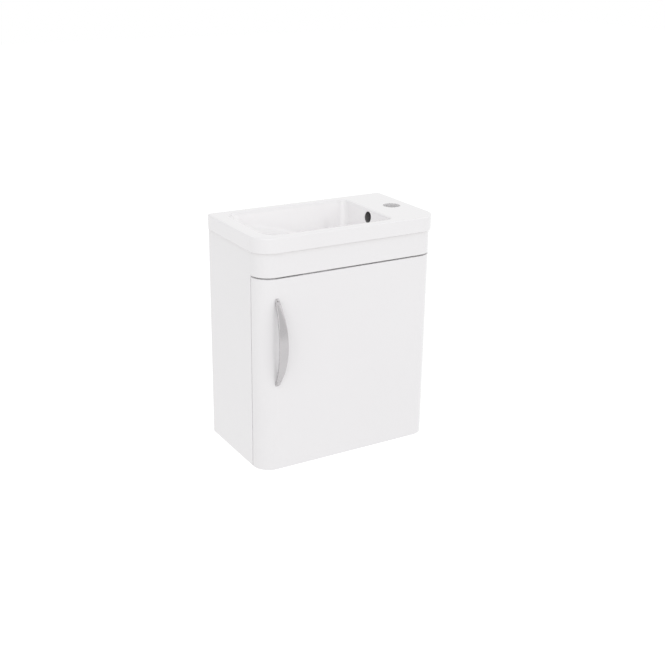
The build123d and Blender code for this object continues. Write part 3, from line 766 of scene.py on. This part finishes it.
class Finishes:
    """Every finish of the vanity, by the record's material slot or by the node that has its own."""

    SLOTS: Mapping[str, Recipe] = {
        "glazed_ceramic": Glaze(),
        "gloss_white_board": GlossBoard(),
        "inner_white_board": InnerBoard(),
        "chrome_handle": Plating((0.485, 0.472, 0.48), (0.46, 0.448, 0.455), 0.17, bloom_scale=25.0),
        "zinc_plated_steel": Plating((0.62, 0.64, 0.67), (0.5, 0.515, 0.54), 0.32),
        "zinc_casting": Plating((0.5, 0.505, 0.52), (0.38, 0.385, 0.4), 0.5, line_depth=0.00003),
        "hinge_steel": Plating((0.62, 0.62, 0.622), (0.57, 0.57, 0.573), 0.24),
        "beech_dowel": Beech(),
        "catch_plastic": Moulding((0.82, 0.815, 0.8), (0.79, 0.785, 0.77), 0.38),
        "catch_ferrite": Moulding((0.035, 0.034, 0.036), (0.02, 0.02, 0.021), 0.6, grain_depth=0.00005),
        "clear_rubber": Moulding((0.86, 0.87, 0.87), (0.82, 0.83, 0.83), 0.3, clear=0.6),
    }
    NODES: Mapping[str, Recipe] = {
        "side_panel_left": GlossBoard(bare_ways=(Way.BACK,), matt_ways=(Way.RIGHT,)),
        "side_panel_right": GlossBoard(bare_ways=(Way.BACK,), matt_ways=(Way.LEFT,)),
        "bottom_panel": InnerBoard(bare_ways=(Way.BACK,)),
        "front_rail": InnerBoard(bare_ways=(Way.BACK,)),
    }

    def __init__(self) -> None:
        """Build the shared effects and then the finishes."""
        effects = Effects()
        self.by_slot, self.by_node = (
            {key: recipe.make(key + "_finish", effects) for key, recipe in recipes.items()}
            for recipes in (self.SLOTS, self.NODES)
        )

    def dress(self, piece: bpy.types.Object, slot: str) -> None:
        """Give a piece the finish of a slot."""
        piece.data.materials.clear()
        piece.data.materials.append(self.by_slot[slot])

    def dress_cad_nodes(self) -> None:
        """Give every CAD node its own finish, or else that of its slot."""
        for part in frame["record"]["subparts"]:
            material = self.by_node.get(part["node"], self.by_slot[part["material_slot"]])
            for slot in frame["nodes"][part["node"]].material_slots:
                slot.material = material
            log.info("%s is finished in %s", part["node"], material.name)


def arc_rise(along: float, half_chord: float, rise: float) -> float:
    """Return the height of a circular arc over its chord.

    Args:
        along: Distance from the middle of the chord.
        half_chord: Half the chord's length.
        rise: Height of the arc at the middle.

    Returns:
        The height at that distance.
    """
    radius = (half_chord ** 2 + rise ** 2) / (2 * rise)
    return math.sqrt(max(radius ** 2 - along ** 2, 0.0)) - (radius - rise)


def level(edge: bmesh.types.BMEdge) -> bool:
    """Tell whether an edge's ends are at one height."""
    return abs(edge.verts[0].co.z - edge.verts[1].co.z) < NEAR


def piece_from(mesh: bmesh.types.BMesh, name: str, smooth_below: float) -> bpy.types.Object:
    """Turn a bmesh into a piece at the origin, smooth but for its sharper edges.

    Args:
        mesh: The finished bmesh, which is freed.
        name: The piece's name.
        smooth_below: Edges that turn by more than this many radians stay sharp.

    Returns:
        The new object.
    """
    bmesh.ops.recalc_face_normals(mesh, faces=mesh.faces)
    for face in mesh.faces:
        face.smooth = True
    for edge in mesh.edges:
        edge.smooth = edge.calc_face_angle(math.pi) < smooth_below
    data = bpy.data.meshes.new(name)
    mesh.to_mesh(data)
    mesh.free()
    piece = bpy.data.objects.new(name, data)
    bpy.context.scene.collection.objects.link(piece)
    return piece


@dataclass
class BowHandle:
    """The bow handle: a band bent in one arc, widest in the middle, with softened edges and two feet."""

    thickness: float = 0.005
    end_depth: float = 0.008
    end_width: float = 0.008
    centres: float = 0.160
    foot_radius: float = 0.0039
    foot_height: float = 0.0075
    foot_round: float = 0.0008
    foot_sides: int = 40
    edge_round: float = 0.0011
    round_steps: int = 3
    steps: int = 56
    smooth_below: float = math.radians(40.0)
    box: tuple[Vector, Vector] = field(default_factory=lambda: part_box("handle_bow"))

    def _bent(self, place: Vector) -> Point:
        """Return where a point of the plain bar goes on the bow.

        Args:
            place: The point on a bar whose sides lie at 1 and -1 on each axis.

        Returns:
            The point on the handle.
        """
        low, high = self.box
        middle = (low + high) / 2
        across, depth, along = place
        outer = depth < 0.0
        half_chord = (high.z - low.z) / 2 - (0.0 if outer else self.end_depth)
        reach = high.y - low.y - (0.0 if outer else self.thickness)
        up = along * half_chord
        end_half = self.end_width / 2
        half_wide = end_half + arc_rise(up, half_chord, (high.x - low.x) / 2 - end_half)
        return middle.x + across * half_wide, high.y - arc_rise(up, half_chord, reach), middle.z + up

    def _band(self, mesh: bmesh.types.BMesh) -> None:
        """Bend a divided bar along the bow and soften its long edges.

        Args:
            mesh: The bmesh that takes the band.
        """
        bmesh.ops.create_cube(mesh, size=2.0)
        uprights = [edge for edge in mesh.edges if not level(edge)]
        bmesh.ops.subdivide_edges(mesh, edges=uprights, cuts=self.steps - 1, use_grid_fill=True)
        corners = [
            edge for edge in mesh.edges
            if not level(edge) and all(
                abs(abs(side) - 1.0) < NEAR for vert in edge.verts for side in vert.co.xy)
        ]
        for vert in mesh.verts:
            vert.co = self._bent(vert.co)
        bmesh.ops.bevel(
            mesh, geom=corners, offset=self.edge_round, offset_type="OFFSET", segments=self.round_steps,
            profile=0.5, affect="EDGES", material=-1, clamp_overlap=True)

    def _foot(self, mesh: bmesh.types.BMesh, height: float) -> None:
        """Add one round foot behind an end of the band.

        Args:
            mesh: The bmesh that takes the foot.
            height: The foot's height in the frame.
        """
        low, high = self.box
        foot = bmesh.ops.create_cone(
            mesh, cap_ends=True, segments=self.foot_sides, radius1=self.foot_radius,
            radius2=self.foot_radius, depth=self.foot_height)["verts"]
        rim = {
            edge for vert in foot for edge in vert.link_edges
            if level(edge) and all(end.co.z > 0 for end in edge.verts)
        }
        rounded = bmesh.ops.bevel(
            mesh, geom=list(rim), offset=self.foot_round, offset_type="OFFSET", segments=self.round_steps,
            profile=0.5, affect="EDGES", material=-1)["verts"]
        whole = list({vert for vert in foot if vert.is_valid} | set(rounded))
        bmesh.ops.rotate(
            mesh, verts=whole, cent=(0.0, 0.0, 0.0), matrix=Matrix.Rotation(math.pi / 2, 3, "X"))
        bmesh.ops.translate(
            mesh, verts=whole, vec=((low.x + high.x) / 2, high.y - self.foot_height / 2, height))

    def build(self, finishes: Finishes) -> bpy.types.Object:
        """Make the handle and let it stand for the CAD node.

        Args:
            finishes: The built finishes.

        Returns:
            The handle's object.
        """
        mesh = bmesh.new()
        self._band(mesh)
        middle_z = (self.box[0].z + self.box[1].z) / 2
        for side in (-1, 1):
            self._foot(mesh, middle_z + side * self.centres / 2)
        handle = piece_from(mesh, "bow_handle", self.smooth_below)
        finishes.dress(handle, "chrome_handle")
        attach(handle, "door")
        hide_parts("handle_bow")
        return handle


@dataclass(frozen=True)
class Lamp:
    """A square softbox that looks at the unit's middle."""

    name: str
    place: Point
    size: float
    power: float

    def hang(self, target: Vector) -> None:
        """Hang the lamp.

        Args:
            target: The point that it looks at.
        """
        data = bpy.data.lights.new(self.name, "AREA")
        data.size = self.size
        data.energy = self.power
        lamp = bpy.data.objects.new(self.name, data)
        lamp.location = self.place
        lamp.rotation_euler = (target - Vector(self.place)).to_track_quat("-Z", "Y").to_euler()
        bpy.context.scene.collection.objects.link(lamp)


@dataclass(frozen=True)
class PhotoCamera:
    """The camera at the photograph's viewpoint."""

    eye: Point = (-1.042, -1.894, 0.993)
    heading: float = math.radians(30.89)
    tilt: float = math.radians(20.45)
    roll: float = math.radians(0.84)
    focal_pixels: float = 1080.3
    image_pixels: float = 665.0
    sensor: float = 36.0

    def set_up(self) -> None:
        """Place the camera and make it the scene's own."""
        data = bpy.data.cameras.new("photo_camera")
        data.sensor_width = self.sensor
        data.lens = self.focal_pixels / self.image_pixels * self.sensor
        camera = bpy.data.objects.new("photo_camera", data)
        camera.location = self.eye
        camera.rotation_euler = (math.pi / 2 - self.tilt, 0.0, -self.heading)
        camera.rotation_euler.rotate_axis("Z", self.roll)
        bpy.context.scene.collection.objects.link(camera)
        bpy.context.scene.camera = camera


@dataclass(frozen=True)
class Studio:
    """A plain white studio: floor, world, two soft lamps and the camera."""

    floor_drop: float = 0.40
    floor_size: float = 24.0
    floor_colour: Colour = (0.86, 0.86, 0.86)
    floor_lift: float = 0.4
    world_light: float = 0.785
    lamps: tuple[Lamp, ...] = (
        Lamp("key_softbox", (-1.6, -2.8, 2.6), 4.0, 38.0),
        Lamp("fill_softbox", (2.6, -1.7, 1.7), 2.6, 9.5),
    )
    camera: PhotoCamera = PhotoCamera()

    @staticmethod
    def _seen(graph: Graph) -> bpy.types.NodeSocket:
        """Return a mask of the rays that look at the backdrop.

        Args:
            graph: The graph that takes the nodes.

        Returns:
            A socket that is 1 for camera, glossy and transmission rays.
        """
        rays = graph.add("ShaderNodeLightPath").outputs
        mirrored = graph.calc("MAXIMUM", rays["Is Glossy Ray"], rays["Is Transmission Ray"])
        return graph.calc("MAXIMUM", rays["Is Camera Ray"], mirrored)

    def _world(self) -> None:
        """Make the world white to look at and a little dimmer as a light."""
        world = bpy.data.worlds.new("white_studio")
        world.use_nodes = True
        world.node_tree.nodes.clear()
        graph = Graph(world.node_tree)
        strength = graph.where(self._seen(graph), self.world_light, 1.0)
        sky = graph.add("ShaderNodeBackground", {"Color": rgba((1.0, 1.0, 1.0)), "Strength": strength})
        graph.add("ShaderNodeOutputWorld", {"Surface": sky.outputs[0]})
        bpy.context.scene.world = world

    def _floor(self) -> None:
        """Lay the pale floor below the hanging unit."""
        mesh = bmesh.new()
        bmesh.ops.create_grid(mesh, x_segments=1, y_segments=1, size=self.floor_size / 2)
        bmesh.ops.translate(mesh, verts=mesh.verts, vec=(0.0, 0.0, -self.floor_drop))
        floor = piece_from(mesh, "floor", smooth_below=0.0)
        material = bpy.data.materials.new("floor_finish")
        material.use_nodes = True
        material.node_tree.nodes.clear()
        graph = Graph(material.node_tree)
        lit = graph.add("ShaderNodeBsdfDiffuse", {"Color": rgba(self.floor_colour)})
        lift = graph.calc("MULTIPLY", self._seen(graph), self.floor_lift)
        glow = graph.add("ShaderNodeEmission", {"Strength": lift})
        both = graph.add("ShaderNodeAddShader", {0: lit.outputs[0], 1: glow.outputs[0]})
        graph.add("ShaderNodeOutputMaterial", {"Surface": both.outputs[0]})
        floor.data.materials.append(material)

    def build(self) -> None:
        """Set up the whole studio."""
        bpy.context.scene.view_settings.view_transform = "Standard"
        self._world()
        self._floor()
        low, high = (Vector(corner) for corner in CAD_BOX)
        for lamp in self.lamps:
            lamp.hang((low + high) / 2)
        self.camera.set_up()


def main() -> None:
    """Build the finishes, the handle and the studio."""
    logging.basicConfig(level=logging.INFO, format="%(message)s")
    finishes = Finishes()
    finishes.dress_cad_nodes()
    handle = BowHandle().build(finishes)
    log.info("%s has %d faces", handle.name, len(handle.data.polygons))
    Studio().build()
    bpy.context.view_layer.update()


if __name__ == "__main__":
    main()
